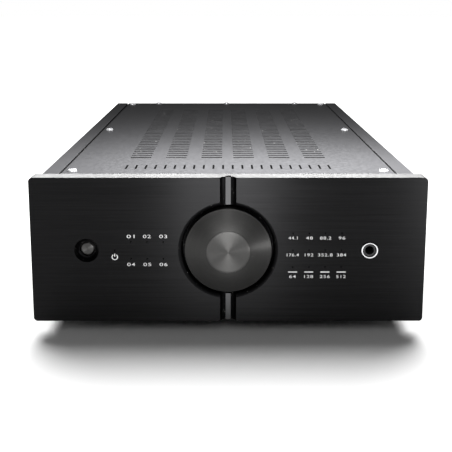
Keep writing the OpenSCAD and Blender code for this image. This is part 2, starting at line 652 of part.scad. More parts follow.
// The rod lies along local x, its eye between the collar's ears.
module aerial_rod() color([0.02, 0.02, 0.02])
    rear(aerial_x, aerial_z) translate([0, 0, hinge_out]) difference() {
        union() {
            translate([0, -1.9, 0]) rotate([-90, 0, 0]) cylinder(r = 3.9, h = 3.8);
            translate([0, -1.9, -2.4]) cube([5, 3.8, 4.8]);
            rotate([0, 90, 0]) rod(rod_r, 4.7, 12.7);
            translate([12.69, 0, 0]) rotate([0, 90, 0])
                cylinder(r1 = rod_r, r2 = tip_r, h = aerial_len - 14);
            translate([aerial_len - 1.32, 0, 0]) rotate([0, 90, 0])
                cylinder(r1 = tip_r, r2 = tip_r - 1, h = 1.3);
        }
        translate([0, -3, 0]) rotate([-90, 0, 0]) cylinder(r = hinge_pin_r + run, h = 6);
    }

// ---- inside ----

module main_board() color([0.05, 0.25, 0.12]) difference() {
    block(pcb_x0, pcb_x1, pcb_y0, pcb_y1, pcb_z, pcb_z + pcb_t);
    for (p = pcb_spots) translate([p[0], p[1], 0]) rod(scr_hole, pcb_z - 1, pcb_z + 4);
}

module coil_place() translate([coil_x, coil_y, base_z + base_t + 1]) children();

module power_transformer() color([0.75, 0.55, 0.2]) coil_place() rotate_extrude()
    polygon([[12, 3], [15, 0], [coil_r - 4, 0], [coil_r, 4], [coil_r, coil_h - 4],
             [coil_r - 4, coil_h], [15, coil_h], [12, coil_h - 3]]);

module transformer_clamp() color([0.6, 0.6, 0.62]) coil_place() union() {
    rod(26, coil_h + 0.1, coil_h + 2);
    rod(coil_bolt_r, -5, coil_h + 6);
    hexagon(5.8, coil_h + 2, coil_h + 6);
}

module smoothing_capacitors() color([0.05, 0.05, 0.06]) for (i = [0 : 3], j = [0 : 1])
    translate([pcb_x0 + 22 + i * 21, pcb_y0 + 18 + j * 21, pcb_z + pcb_t + 0.05]) union() {
        rod(9, 0, 1.5);
        rod(8.6, 1.4, 2.6);
        rod(9, 2.5, 33);
    }

module heat_sinks() color([0.1, 0.1, 0.1]) for (i = [0 : 2])
    translate([pcb_x0 + 20 + i * 30, (pcb_y0 + pcb_y1) / 2 + 14, pcb_z + pcb_t + 0.05]) union() {
        cube([3, 16, 25]);
        for (j = [0 : 4]) translate([2.9, j * 3.6, 0]) cube([8, 1.5, 25]);
    }

module input_board() color([0.05, 0.25, 0.12]) difference() {
    block(inp_x0, inp_x1, inp_y0, inp_y1, inp_z, inp_z + pcb_t);
    for (p = inp_spots) translate([p[0], p[1], 0]) rod(scr_hole, inp_z - 1, inp_z + 4);
}

module standoff(top) difference() {
    hexagon(3, base_z + base_t + 0.05, top - 0.05);
    rod(tap_r, base_z, top + 1);
}

module board_standoffs() color([0.8, 0.7, 0.4]) {
    for (p = pcb_spots) translate([p[0], p[1], 0]) standoff(pcb_z);
    for (p = inp_spots) translate([p[0], p[1], 0]) standoff(inp_z);
}

module board_screws() color([0.75, 0.75, 0.77]) {
    for (p = pcb_spots) translate([p[0], p[1], pcb_z + pcb_t + 0.03]) button_screw(2.8, 1.8, scr_r, 5);
    for (p = inp_spots) translate([p[0], p[1], inp_z + pcb_t + 0.03]) button_screw(2.8, 1.8, scr_r, 5);
}

module ribbon_cable() color([0.7, 0.7, 0.72]) union() {
    block(10, 36, board_y + pcb_t + 0.1, board_y + pcb_t + 5, zc + 12, zc + 18);
    block(12, 34, board_y + pcb_t + 4.9, inp_y0 + 8, zc + 15, zc + 16);
    block(12, 34, inp_y0 + 7, inp_y0 + 8, inp_z + 5, zc + 16);
    block(10, 36, inp_y0 + 3, inp_y0 + 9, inp_z + pcb_t + 0.1, inp_z + 7);
}

front_panel();
groove_strip_upper();
groove_strip_lower();
front_bulkhead();
fascia_screws();
light_pipes();
indicator_board();
volume_knob();
encoder_shaft();
encoder_housing();
encoder_nut();
power_button();
switch_plunger();
power_switch();
headphone_jack();
headphone_ring();
side_left();
side_right();
base_plate();
rear_panel();
top_cover();
cover_screws();
base_screws();
rear_screws();
feet();
foot_pads();
foot_screws();
mains_inlet();
mains_pins();
fuse_drawer();
mains_fuse();
rocker_switch();
xlr_out_shells();
xlr_out_pins();
aes_shell();
aes_insert();
aes_latch();
phono_shells();
phono_inserts();
connector_screws();
usb_shell();
usb_tongue();
optical_socket();
optical_flap();
aerial_jack();
aerial_collar();
aerial_pin();
aerial_rod();
main_board();
power_transformer();
transformer_clamp();
smoothing_capacitors();
heat_sinks();
input_board();
board_standoffs();
board_screws();
ribbon_cable();
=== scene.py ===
# %% [markdown]
# # A desktop converter with one large volume knob
# The real object is a heavy machined front plate on a low metal case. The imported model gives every
# part at its true place, so this script only adds the surfaces, finishes and light. It starts by
# loading the model and keeping the box that it fills.

# %% Load the frame
import json
from math import cos, pi, radians, sin

import bmesh
import bpy
import numpy as np
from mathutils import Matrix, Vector


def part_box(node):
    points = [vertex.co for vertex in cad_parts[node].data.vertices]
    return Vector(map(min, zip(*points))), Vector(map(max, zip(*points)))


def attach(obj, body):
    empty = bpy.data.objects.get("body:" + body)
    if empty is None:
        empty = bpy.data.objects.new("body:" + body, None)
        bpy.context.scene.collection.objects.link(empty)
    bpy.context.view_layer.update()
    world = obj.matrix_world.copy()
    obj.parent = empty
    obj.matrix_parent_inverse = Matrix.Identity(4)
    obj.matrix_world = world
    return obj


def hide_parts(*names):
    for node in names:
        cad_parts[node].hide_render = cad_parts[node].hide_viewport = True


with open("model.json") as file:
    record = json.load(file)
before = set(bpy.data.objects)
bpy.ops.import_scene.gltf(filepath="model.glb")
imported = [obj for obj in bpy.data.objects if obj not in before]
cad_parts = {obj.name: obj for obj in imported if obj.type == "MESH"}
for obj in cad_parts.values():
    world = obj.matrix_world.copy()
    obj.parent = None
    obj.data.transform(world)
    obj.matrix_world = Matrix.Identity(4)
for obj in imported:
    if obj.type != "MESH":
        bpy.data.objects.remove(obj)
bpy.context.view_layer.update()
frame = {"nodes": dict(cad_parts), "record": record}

nodes = frame["nodes"]
slot_of = {part["node"]: part["material_slot"] for part in frame["record"]["subparts"]}
MM = 0.001

# %% [markdown]
# Every place below comes from the parts themselves: the face of the plate, the knob's axis, the
# button, the headphone socket and the top of the cover. Typing these places again would be shorter,
# but they would be wrong as soon as a part moved.

# %% Places taken from the parts
plate_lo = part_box("front_panel")[0]
knob_lo, knob_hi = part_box("volume_knob")
button_lo, button_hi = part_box("power_button")
ring_lo, ring_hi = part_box("headphone_ring")
cover_lo, cover_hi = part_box("top_cover")
face_y = plate_lo.y
wall_t = 2 * MM
side_inner_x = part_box("side_right")[1].x - wall_t
axis_z = (knob_lo.z + knob_hi.z) / 2
knob_r = (knob_hi.x - knob_lo.x) / 2
button_x = (button_lo.x + button_hi.x) / 2
jack_x = (ring_lo.x + ring_hi.x) / 2
print("face at", round(face_y, 5), "axis at", round(axis_z, 5), "knob radius", round(knob_r, 5))

# %% [markdown]
# ## Surfaces as arrays
# A turned part is a profile carried once round an axis. The whole grid of points is worked out in
# one go with numpy and then put into a mesh. The seam and the poles are closed by merging points
# that coincide. The map stores the distance along the profile and the angle, so that a finish can
# follow the tool marks.

# %% Helper: a grid of points becomes a mesh
SAME_PLACE = 2e-7


def grid_object(name, points, uv, sharp=40):
    """Joins each point (i, j) of a grid to its neighbours (i+1, j), (i+1, j+1) and (i, j+1) with one
    four-sided face, stores the map value of every corner, and merges points that coincide."""
    rows, cols = points.shape[:2]
    index = np.arange(rows * cols).reshape(rows, cols)
    quads = np.stack([index[:-1, :-1], index[1:, :-1], index[1:, 1:], index[:-1, 1:]], -1).reshape(-1, 4)
    mesh = bpy.data.meshes.new(name)
    mesh.from_pydata(points.reshape(-1, 3).tolist(), [], quads.tolist())
    layer = mesh.uv_layers.new(name="UVMap")
    layer.data.foreach_set("uv", uv.reshape(-1, 2)[quads.ravel()].ravel())
    return finished(name, mesh, sharp)


def finished(name, mesh, sharp=40):
    """Merges coinciding points, turns the faces outwards, shades smooth up to the sharp angle, and links."""
    tidy = bmesh.new()
    tidy.from_mesh(mesh)
    bmesh.ops.remove_doubles(tidy, verts=tidy.verts, dist=SAME_PLACE)
    bmesh.ops.recalc_face_normals(tidy, faces=tidy.faces)
    tidy.to_mesh(mesh)
    tidy.free()
    mesh.shade_smooth()
    mesh.set_sharp_from_angle(angle=radians(sharp))
    piece = bpy.data.objects.new(name, mesh)
    bpy.context.scene.collection.objects.link(piece)
    return piece


def placed(piece, body, slot, *stands_for):
    """Says which body the piece moves with and which nodes it stands for. The slot is not used."""
    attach(piece, body)
    if stands_for:
        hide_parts(*stands_for)
    print(piece.name, "faces:", len(piece.data.polygons))
    return piece


# %% [markdown]
# A lathe makes most round parts: the tool follows a profile while the part turns. A screw modifier
# could do the same, but a grid worked out here also knows how far along the profile every point is,
# and the finish needs that distance to draw the fine rings of the tool.

# %% Helper: a turned surface
def along(profile, fine):
    """Points every `fine` metres or closer along the straight stretches of a profile, corners kept,
    and the distance of each point from the start."""
    profile = np.array(profile, float)
    steps = np.maximum(1, np.ceil(np.hypot(*np.diff(profile, axis=0).T) / fine)).astype(int)
    spread = [np.linspace(a, b, n, endpoint=False) for a, b, n in zip(profile[:-1], profile[1:], steps)]
    dense = np.vstack(spread + [profile[-1:]])
    return dense, np.concatenate([[0], np.cumsum(np.hypot(*np.diff(dense, axis=0).T))])


def turned(name, profile, centre, out, turns=96, fine=0.002, sharp=40):
    """Carries a profile of (radius, height) round an axis through `centre`. The point at angle a is
    centre + radius * (side * cos a + up * sin a) + height * out, where out is the axis's direction."""
    dense, travelled = along(profile, fine)
    out = np.array(out, float)
    side = np.array([1.0, 0, 0]) if abs(out[0]) < 0.5 else np.array([0, 1.0, 0])
    up = np.cross(out, side)
    angle = np.linspace(0, 2 * pi, turns + 1)
    angle[-1] = 0
    ring = np.cos(angle)[:, None] * side + np.sin(angle)[:, None] * up
    points = np.array(centre) + dense[:, None, :1] * ring[None] + dense[:, None, 1:] * out
    uv = np.stack(np.broadcast_arrays(travelled[:, None], np.linspace(0, 1, turns + 1)[None]), -1)
    return grid_object(name, points, uv, sharp)


def rounded_corner(corner, radius, start, stop, steps=5):
    """Points on a quarter round about `corner` from the angle start to the angle stop, in degrees."""
    return [(corner[0] + radius * cos(radians(a)), corner[1] + radius * sin(radians(a)))
            for a in np.linspace(start, stop, steps)]


# %% [markdown]
# ## Softened copies of machined parts
# A milled or sheared part has no perfectly sharp edge: each one carries a small break that catches
# the light. Modelling that break with a Bevel modifier on a merged copy keeps every hole and slot
# that the part has. Only long edges are broken, because tiny holes have no room for it. Placing
# every break by hand would also work, but there are thousands of edges.

# %% Helper: a merged copy with broken edges
MERGE_MM, FLAT_DEG, EDGE_DEG, SMOOTH_DEG = 0.002, 0.6, 50, 30


def softened(node, body, break_mm, longer_than_mm, name=None):
    """Copies a node, merges its points, joins its flat triangles, and breaks by a Bevel modifier the
    edges that turn by more than EDGE_DEG and are longer than longer_than_mm."""
    source = nodes[node]
    mesh = source.data.copy()
    tidy = bmesh.new()
    tidy.from_mesh(mesh)
    bmesh.ops.remove_doubles(tidy, verts=tidy.verts, dist=MERGE_MM * MM)
    bmesh.ops.dissolve_limit(tidy, angle_limit=radians(FLAT_DEG), verts=tidy.verts, edges=tidy.edges)
    bmesh.ops.recalc_face_normals(tidy, faces=tidy.faces)
    weight = tidy.edges.layers.float.new("bevel_weight_edge")
    chosen = 0
    for edge in tidy.edges:
        if len(edge.link_faces) == 2 and edge.calc_face_angle() > radians(EDGE_DEG):
            if edge.calc_length() > longer_than_mm * MM:
                edge[weight] = 1.0
                chosen += 1
    tidy.to_mesh(mesh)
    tidy.free()
    mesh.materials.clear()
    piece = bpy.data.objects.new(name or node + "_finished", mesh)
    bpy.context.scene.collection.objects.link(piece)
    bevel = piece.modifiers.new("edge_break", "BEVEL")
    bevel.limit_method = "WEIGHT"
    bevel.width = break_mm * MM
    bevel.segments = 2
    bevel.use_clamp_overlap = False
    facing = piece.modifiers.new("flat_faces", "WEIGHTED_NORMAL")
    facing.mode = "FACE_AREA"
    facing.weight = 100
    facing.keep_sharp = True
    mesh.shade_smooth()
    mesh.set_sharp_from_angle(angle=radians(SMOOTH_DEG))
    print(node, "edges broken:", chosen)
    return placed(piece, body, slot_of[node], node)


def brushed_map(piece):
    """Writes a map in metres for metal brushed from side to side: the first value is height minus depth,
    so it changes across the lines on the front and on the top alike, and the second is the width."""
    mesh = piece.data
    corner = np.empty(len(mesh.loops), int)
    mesh.loops.foreach_get("vertex_index", corner)
    place = np.empty(len(mesh.vertices) * 3)
    mesh.vertices.foreach_get("co", place)
    place = place.reshape(-1, 3)[corner]
    layer = mesh.uv_layers.get("UVMap") or mesh.uv_layers.new(name="UVMap")
    layer.data.foreach_set("uv", np.stack([place[:, 2] - place[:, 1], place[:, 0]], -1).ravel())


# %% [markdown]
# ## Finishes
# Every finish is built from nodes. Effects that many finishes share are groups, built once: a grain
# that can be stretched along one direction, and a fine film of dust and finger marks. The groups put
# out plain values, and each material feeds them to its own shader.

# %% Helper: groups and links
def new_group(name, inputs, outputs):
    """Makes a node group with named float, vector or colour sockets and returns it with its ends."""
    tree = bpy.data.node_groups.new(name, "ShaderNodeTree")
    for title, kind, value in inputs:
        socket = tree.interface.new_socket(title, in_out="INPUT", socket_type=kind)
        if value is not None:
            socket.default_value = value
    for title, kind in outputs:
        tree.interface.new_socket(title, in_out="OUTPUT", socket_type=kind)
    return tree, tree.nodes.new("NodeGroupInput"), tree.nodes.new("NodeGroupOutput")


def combine(tree, operation, a, b=None, clamp=False):
    """One Math node: each side is a number or a socket."""
    step = tree.nodes.new("ShaderNodeMath")
    step.operation = operation
    step.use_clamp = clamp
    for socket, value in zip(step.inputs, (a, b)):
        if isinstance(value, (int, float)):
            socket.default_value = value
        elif value is not None:
            tree.links.new(value, socket)
    return step.outputs[0]


def remap(tree, value, low, high):
    """Spreads a value from 0..1 to low..high, where both may be sockets."""
    span = tree.nodes.new("ShaderNodeMapRange")
    tree.links.new(value, span.inputs["Value"])
    for title, limit in (("To Min", low), ("To Max", high)):
        if isinstance(limit, (int, float)):
            span.inputs[title].default_value = limit
        else:
            tree.links.new(limit, span.inputs[title])
    return span.outputs[0]


def noise(tree, vector, scale, detail, rough=0.5):
    """A noise texture read at a vector; scale may be a number or a socket."""
    grain = tree.nodes.new("ShaderNodeTexNoise")
    tree.links.new(vector, grain.inputs["Vector"])
    grain.inputs["Detail"].default_value = detail
    grain.inputs["Roughness"].default_value = rough
    if isinstance(scale, (int, float)):
        grain.inputs["Scale"].default_value = scale
    else:
        tree.links.new(scale, grain.inputs["Scale"])
    return grain.outputs["Fac"]


# %% [markdown]
# Brushed metal, turned metal and pebbled paint have one thing in common: a fine grain that is drawn
# out more or less along one direction. So one group serves all of them. It reads a noise at a
# stretched place, which is cheaper than carving the relief and looks the same from a hand away.

# %% Shared effect: a grain that can be stretched
COARSE_SHARE = 0.23


def build_grain():
    """Two noises of one stretched vector, a fine one and one about four times coarser, averaged."""
    tree, start, end = new_group(
        "stretched_grain",
        [("Vector", "NodeSocketVector", None), ("Stretch", "NodeSocketVector", (1, 1, 1)),
         ("Scale", "NodeSocketFloat", 900.0)],
        [("Grain", "NodeSocketFloat"), ("Coarse", "NodeSocketFloat")])
    pull = tree.nodes.new("ShaderNodeVectorMath")
    pull.operation = "MULTIPLY"
    tree.links.new(start.outputs["Vector"], pull.inputs[0])
    tree.links.new(start.outputs["Stretch"], pull.inputs[1])
    fine = noise(tree, pull.outputs[0], start.outputs["Scale"], 3.0, 0.6)
    wider = combine(tree, "MULTIPLY", start.outputs["Scale"], COARSE_SHARE)
    coarse = noise(tree, pull.outputs[0], wider, 2.0)
    both = combine(tree, "MULTIPLY", combine(tree, "ADD", fine, coarse), 0.5)
    tree.links.new(both, end.inputs["Grain"])
    tree.links.new(coarse, end.inputs["Coarse"])
    return tree


grain_group = build_grain()
print("grain group nodes:", len(grain_group.nodes))

# %% [markdown]
# A thing that has been handled is never evenly clean. Broad soft patches of finger film dull the
# sheen a little, and a few specks of pale dust lie on it. Both are noises here, so no picture has
# to be painted, and each finish says how much of them it wants.

# %% Shared effect: dust and finger marks
PATCH_SCALE, SPECK_SCALE, SPECK_FROM, SPECK_GAIN = 21.0, 700.0, 0.7, 9.0
DUST_COLOUR = (0.55, 0.54, 0.52, 1)


def build_film():
    """Broad soft patches that raise the roughness, and rare small specks of pale dust."""
    tree, start, end = new_group(
        "dust_film",
        [("Vector", "NodeSocketVector", None), ("Color", "NodeSocketColor", (0.1, 0.1, 0.1, 1)),
         ("Roughness", "NodeSocketFloat", 0.4), ("Patches", "NodeSocketFloat", 0.1),
         ("Dust", "NodeSocketFloat", 0.3)],
        [("Color", "NodeSocketColor"), ("Roughness", "NodeSocketFloat")])
    patches = noise(tree, start.outputs["Vector"], PATCH_SCALE, 4.0, 0.55)
    specks = noise(tree, start.outputs["Vector"], SPECK_SCALE, 1.0, 0.4)
    rare = combine(tree, "MULTIPLY", combine(tree, "SUBTRACT", specks, SPECK_FROM), SPECK_GAIN, clamp=True)
    lift = combine(tree, "MULTIPLY", combine(tree, "SUBTRACT", patches, 0.5), start.outputs["Patches"])
    rough = combine(tree, "ADD", start.outputs["Roughness"], combine(tree, "MULTIPLY", lift, 2.0), clamp=True)
    blend = tree.nodes.new("ShaderNodeMix")
    blend.data_type = "RGBA"
    tree.links.new(combine(tree, "MULTIPLY", rare, start.outputs["Dust"]), blend.inputs["Factor"])
    tree.links.new(start.outputs["Color"], blend.inputs["A"])
    blend.inputs["B"].default_value = DUST_COLOUR
    tree.links.new(blend.outputs["Result"], end.inputs["Color"])
    tree.links.new(rough, end.inputs["Roughness"])
    return tree


film_group = build_film()
print("shared effects:", [g.name for g in bpy.data.node_groups])


# %% [markdown]
# One function makes every finish from a row of plain settings: colour, how metallic and rough it
# is, how its grain is stretched, and how deep the grain is. A finish that follows tool marks reads
# the piece's own map and turns the highlight with a Tangent node. The other finishes read the
# object's own coordinates, so that the grain has one scale on every part.

# %% Helper: one finish from its settings
def make_finish(name, colour, metallic=0.0, rough=0.5, stretch=(1, 1, 1), scale=900.0, depth_mm=0.01,
                tint=0.25, patches=0.08, dust=0.3, turned_lines=False, anisotropic=0.0, coat=0.0,
                transmission=0.0, ior=1.5, specular=0.5):
    """Colour and roughness vary with the grain, and the grain's height gives the fine relief."""
    material = bpy.data.materials.new(name)
    material.use_nodes = True
    tree = material.node_tree
    shader = tree.nodes["Principled BSDF"]
    source = tree.nodes.new("ShaderNodeTexCoord")
    mapped = source.outputs["UV" if turned_lines else "Object"]
    grain = tree.nodes.new("ShaderNodeGroup")
    grain.node_tree = grain_group
    tree.links.new(mapped, grain.inputs["Vector"])
    grain.inputs["Stretch"].default_value = stretch
    grain.inputs["Scale"].default_value = scale
    film = tree.nodes.new("ShaderNodeGroup")
    film.node_tree = film_group
    tree.links.new(source.outputs["Object"], film.inputs["Vector"])
    film.inputs["Patches"].default_value = patches
    film.inputs["Dust"].default_value = dust
    shades = tree.nodes.new("ShaderNodeMix")
    shades.data_type = "RGBA"
    tree.links.new(grain.outputs["Grain"], shades.inputs["Factor"])
    shades.inputs["A"].default_value = [c * (1 - tint) for c in colour] + [1]
    shades.inputs["B"].default_value = [min(1, c * (1 + tint)) for c in colour] + [1]
    tree.links.new(shades.outputs["Result"], film.inputs["Color"])
    tree.links.new(remap(tree, grain.outputs["Coarse"], rough * 0.85, rough * 1.15), film.inputs["Roughness"])
    tree.links.new(film.outputs["Color"], shader.inputs["Base Color"])
    tree.links.new(film.outputs["Roughness"], shader.inputs["Roughness"])
    relief = tree.nodes.new("ShaderNodeBump")
    relief.inputs["Strength"].default_value = 1.0
    relief.inputs["Distance"].default_value = depth_mm * MM
    tree.links.new(grain.outputs["Grain"], relief.inputs["Height"])
    tree.links.new(relief.outputs["Normal"], shader.inputs["Normal"])
    shader.inputs["Metallic"].default_value = metallic
    shader.inputs["Coat Weight"].default_value = coat
    shader.inputs["Transmission Weight"].default_value = transmission
    shader.inputs["IOR"].default_value = ior
    shader.inputs["Specular IOR Level"].default_value = specular
    if anisotropic:
        shader.inputs["Anisotropic"].default_value = anisotropic
        direction = tree.nodes.new("ShaderNodeTangent")
        direction.direction_type = "UV_MAP"
        direction.uv_map = "UVMap"
        tree.links.new(direction.outputs["Tangent"], shader.inputs["Tangent"])
    return material


# %% [markdown]
# The machined pieces are anodised black, so they are dark metals with a drawn-out sheen. The case is
# powder coated, the fittings are steel, chrome or gilt, and the rest is plastic, rubber or board.
# Every slot that the parts name has a finish of that name, and a few pieces wear a special one.

# %% The finishes of the part's slots
finishes = {
    "anodised_black": make_finish("anodised_black", (0.013, 0.013, 0.0134), 1.0, 0.42, (1, 0.012, 1), 2600.0,
                                  0.004, 0.75, 0.03, 0.01, True, 0.92),
    # The recess finish is painted shade: the plate's anodised black, unbrushed and at a third of its colour.
    "recess_painted_shade": make_finish("recess_painted_shade", (0.004, 0.004, 0.0042), 1.0, 0.5, (1, 1, 1), 1800.0, 0.004,
                                0.3),
    "anodised_edge": make_finish("anodised_edge", (0.013, 0.013, 0.0134), 1.0, 0.42, (1, 0.012, 1), 2600.0,
                                 0.001, 0.12, 0.01, 0.0, True, 0.92),
    "turned_black": make_finish("turned_black", (0.027, 0.0267, 0.0262), 1.0, 0.34, (1, 0.02, 1), 2200.0,
                                0.003, 0.25, 0.03, 0.02, True, 0.9),
    # The disc finish is a lighter copy of the cone's turned finish: the lighter colour paints part of the
    # disc's sheen.
    "turned_disc_painted_sheen": make_finish("turned_disc_painted_sheen", (0.05, 0.0494, 0.0484), 1.0, 0.32, (1, 0.02, 1), 2600.0,
                               0.002, 0.2, 0.03, 0.02, True, 0.9),
    "legend_ink": make_finish("legend_ink", (0.92, 0.92, 0.92), 0.0, 0.6, (1, 1, 1), 2600.0, 0.002, 0.08),
    # The flat near-black finish is painted shade: it stands for the cuts in the cover and darkens slot walls
    # and the faces in the gap.
    "cut_mark": make_finish("cut_mark", (0.006, 0.006, 0.006), 0.0, 0.7, (1, 1, 1), 1700.0, 0.02),
    "polished_strip": make_finish("polished_strip", (0.11, 0.11, 0.113), 1.0, 0.16, (1, 1, 0.02), 2500.0,
                                  0.001, 0.1, 0.03, 0.0),
    "powder_black": make_finish("powder_black", (0.036, 0.036, 0.0375), 0.0, 0.42, (1, 1, 1), 1700.0,
                                0.07, 0.8, 0.05, 0.03),
    "plain_steel": make_finish("plain_steel", (0.5, 0.51, 0.53), 1.0, 0.4, (0.05, 1, 1), 1500.0, 0.004),
    "screw_steel": make_finish("screw_steel", (0.72, 0.72, 0.74), 1.0, 0.26, (1, 1, 1), 1200.0, 0.002, 0.1),
    "screw_bright": make_finish("screw_bright", (0.8, 0.8, 0.82), 0.8, 0.26, (1, 1, 1), 1200.0, 0.002, 0.1),
    "screw_black": make_finish("screw_black", (0.035, 0.035, 0.037), 0.7, 0.38, (1, 1, 1), 1500.0, 0.004),
    "chrome": make_finish("chrome", (0.6, 0.6, 0.61), 1.0, 0.14, (1, 1, 1), 900.0, 0.001, 0.05),
    "gilt": make_finish("gilt", (0.86, 0.6, 0.24), 1.0, 0.24, (1, 1, 1), 1400.0, 0.002, 0.1),
    "black_plastic": make_finish("black_plastic", (0.022, 0.022, 0.023), 0.0, 0.46, (1, 1, 1), 1900.0, 0.02),
    "white_plastic": make_finish("white_plastic", (0.78, 0.78, 0.76), 0.0, 0.45, (1, 1, 1), 1900.0, 0.01,
                                 0.06),
    "clear_plastic": make_finish("clear_plastic", (0.002, 0.002, 0.0022), 0.0, 0.5, (1, 1, 1), 900.0, 0.002,
                                 0.1, dust=0.0, specular=0.0),
    "fuse_glass": make_finish("fuse_glass", (0.9, 0.93, 0.95), 0.0, 0.06, (1, 1, 1), 400.0, 0.001, 0.03,
                              transmission=0.85, ior=1.47),
    "rubber": make_finish("rubber", (0.02, 0.02, 0.02), 0.0, 0.75, (1, 1, 1), 2200.0, 0.03),
    "board": make_finish("board", (0.02, 0.14, 0.06), 0.0, 0.35, (1, 1, 1), 500.0, 0.01, 0.3, coat=0.3),
    "winding": make_finish("winding", (0.55, 0.27, 0.09), 1.0, 0.35, (1, 1, 0.05), 1400.0, 0.2, 0.4),
    "capacitor": make_finish("capacitor", (0.03, 0.03, 0.045), 0.0, 0.3, (1, 1, 1), 700.0, 0.006, coat=0.2),
    "sink": make_finish("sink", (0.05, 0.05, 0.05), 1.0, 0.4, (1, 1, 0.05), 1500.0, 0.004),
    "ribbon": make_finish("ribbon", (0.45, 0.45, 0.47), 0.0, 0.5, (1, 1, 0.2), 800.0, 0.02),
}


def wear(piece, material):
    """Gives a piece its finish."""
    piece.data.materials.clear()
    piece.data.materials.append(finishes[material])
    return piece


def face_values(piece, title):
    """The centres or the normals of a piece's faces, one row of three values for each face."""
    values = np.empty(len(piece.data.polygons) * 3)
    piece.data.polygons.foreach_get(title, values)
    return values.reshape(-1, 3)


for node, part in nodes.items():
    part.data.materials.clear()
    part.data.materials.append(finishes[slot_of[node]])
wear(nodes["cover_screws"], "screw_bright")
print("finishes:", len(finishes))

# %% [markdown]
# ## The front plate
# The plate is milled from thick aluminium, brushed from side to side and then anodised black. A
# merged copy keeps its groove, recess and holes, and its outer edges get a small break. The map
# puts the height first, so the highlight is drawn out up and down, across the brush lines. The
# recess, the button's well and the groove wear an unbrushed finish whose colour is a third of the
# plate's: that darker colour is painted shade. The thin top edge wears a smoother one. One mesh
# with three materials keeps the plate a single piece.

# %% Front plate
front_plate = softened("front_panel", "case", 0.25, 9.0, "front_plate")
brushed_map(front_plate)
wear(front_plate, "anodised_black")
# The second finish paints shade into the hollows; the third is a smoother top edge.
front_plate.data.materials.append(finishes["recess_painted_shade"])
front_plate.data.materials.append(finishes["anodised_edge"])
middle = face_values(front_plate, "center")
facing = face_values(front_plate, "normal")
mouth_r, well_r, groove_half = 35.7 * MM, 8.8 * MM, 5.65 * MM
# Faces of the recess, the well and the groove, which get the painted shade.
hollow_painted_shade = ((np.hypot(middle[:, 0], middle[:, 2] - axis_z) < mouth_r)
          | (np.hypot(middle[:, 0] - button_x, middle[:, 2] - axis_z) < well_r)
          | (np.abs(middle[:, 0]) < groove_half))
faces_up = 0.9
on_top = facing[:, 2] > faces_up
front_plate.data.polygons.foreach_set("material_index", np.where(hollow_painted_shade, 1, np.where(on_top, 2, 0)))
print("faces in the recess, well and groove:", int(hollow_painted_shade.sum()))

# %% [markdown]
# ## The volume knob
# The knob is turned on a lathe: a flat disc stands on a shallow cone that runs down to a thin rim.
# The tool leaves fine rings, so light gathers in wedges that point at the centre. One profile
# carried round the axis gives the shape, and the map gives the rings.

# %% Volume knob
knob_top = face_y - knob_lo.y
disc_r, rim_r = 15.4 * MM, knob_r
rim_top, rim_round = 0.5 * MM, 0.6 * MM
disc_step, cone_power = 0.25 * MM, 1.35
foot_w, skirt_r, behind_face = 3.2 * MM, rim_r - 3.4 * MM, -1.5 * MM


def cone_height(r):
    """Height over the plate on the cone: it falls from the disc to the rim with the share of the way
    to the power cone_power."""
    t = (r - disc_r) / (rim_r - rim_round - disc_r)
    return (knob_top - disc_step) + (rim_top - knob_top + disc_step) * t ** cone_power


cone = [(r, cone_height(r)) for r in np.linspace(disc_r, rim_r - rim_round, 14)]
back = face_y - knob_hi.y
knob_profile = ([(0, knob_top), (disc_r - 0.3 * MM, knob_top), (disc_r - 0.08 * MM, knob_top - 0.08 * MM)]
                + cone + rounded_corner((rim_r - rim_round, rim_top - rim_round), rim_round, 75, 0, 4)
                + [(rim_r, back + 0.4 * MM), (rim_r - 0.4 * MM, back), (rim_r - foot_w, back),
                   (skirt_r, back + 0.2 * MM), (skirt_r, behind_face), (0, behind_face)])
centre = (0, face_y, axis_z)
knob = turned("knob_turned", knob_profile, centre, (0, -1, 0), 192, 0.0015, 25)
wear(placed(knob, "knob", "turned_black", "volume_knob"), "turned_black")
# The disc wears the lighter copy of the turned finish, so part of its brighter sheen is painted.
knob.data.materials.append(finishes["turned_disc_painted_sheen"])
middle = face_values(knob, "center")
from_axis = np.hypot(middle[:, 0], middle[:, 2] - axis_z)
disc_painted_sheen = (from_axis < disc_r) & (middle[:, 1] < face_y - knob_top / 2)
knob.data.polygons.foreach_set("material_index", disc_painted_sheen.astype(int))

# %% [markdown]
# ## The power button
# The button is a short turned cap with a broad chamfer, set deep in a cone that wears the plate's
# painted shade. Its face carries the same rings as the knob, on the disc's lighter finish, whose
# colour paints part of its sheen.

# %% Power button
cap_r = 5.25 * MM
cap_top = face_y - button_lo.y
cap_back = face_y - button_hi.y
flange_top = cap_top - 4.6 * MM
flange_r, flange_back, stem_r = cap_r + 1.75 * MM, flange_top - 1.2 * MM, 2 * MM
button_profile = [(0, cap_top), (cap_r - 1.25 * MM, cap_top), (cap_r - 1.1 * MM, cap_top - 0.05 * MM),
                  (cap_r - 0.1 * MM, cap_top - 0.95 * MM), (cap_r, cap_top - 1.15 * MM), (cap_r, flange_top),
                  (flange_r, flange_top), (flange_r, flange_back), (stem_r, flange_back), (stem_r, cap_back),
                  (0, cap_back)]
button = turned("button_cap", button_profile, (button_x, face_y, axis_z), (0, -1, 0), 96, 0.001, 25)
# The cap wears the disc's lighter copy too, so part of its sheen is painted.
wear(placed(button, "button", "turned_black", "power_button"), "turned_disc_painted_sheen")

# %% [markdown]
# ## The headphone socket's ring
# A bright plated ring closes the hole. Its rolled front edge runs into a short cone that leads the
# plug in, so the profile is a round lip with a chamfer inside.

